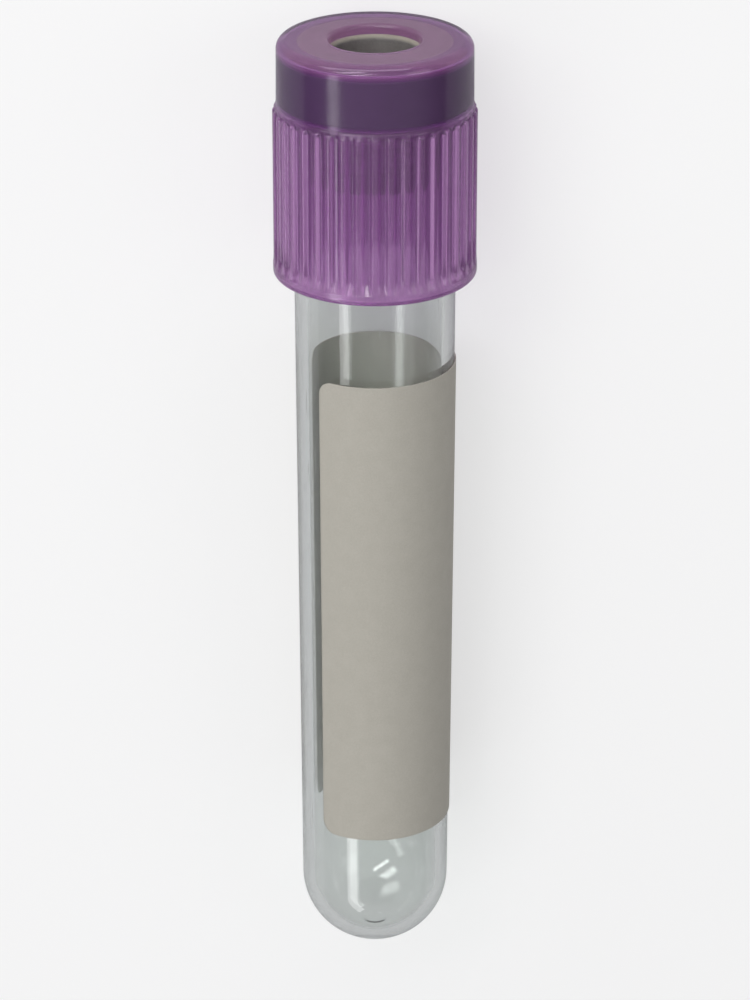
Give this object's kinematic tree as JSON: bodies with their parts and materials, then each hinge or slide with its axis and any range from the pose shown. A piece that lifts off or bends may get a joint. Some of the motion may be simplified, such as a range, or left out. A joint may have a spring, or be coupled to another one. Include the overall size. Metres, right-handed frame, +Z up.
{
  "type": "blood collection tube",
  "caption": "Round-bottomed clear plastic blood collection tube with a paper label, closed by a grey rubber stopper held in a finely ribbed lavender plastic shield that pulls off with it.",
  "frame": {"origin": "on the ground under the middle of the part's box, with the tube lying on its side as it comes to rest", "axes": "+Y along the tube from its round end towards its cap, +Z up, +X across. The tube's own axis rises 2.02 degrees towards the cap, because the wider skirt lifts that end"},
  "size_m": [0.0162, 0.0804, 0.0165],
  "materials": {
    "clear_plastic": "clear moulded plastic, smooth and glossy",
    "grey_rubber": "dark grey rubber, matt",
    "lavender_plastic": "translucent lavender plastic, satin gloss",
    "label_paper": "off-white label paper, matt"
  },
  "bodies": {
    "tube": {"tube": "clear_plastic", "label": "label_paper"},
    "stopper": {"stopper": "grey_rubber"},
    "shield": {"cap_shield": "lavender_plastic"}
  },
  "joints": [
    {"name": "pull_off", "type": "slide", "parent": "tube", "child": "stopper", "axis": [0, 0.9994, 0.0352], "range_m": [0, 0.026]},
    {"name": "cap_twist", "type": "hinge", "parent": "stopper", "child": "shield", "pos_m": [0, 0.03474, 0.00854], "axis": [0, 0.9994, 0.0352], "continuous": true}
  ]
}
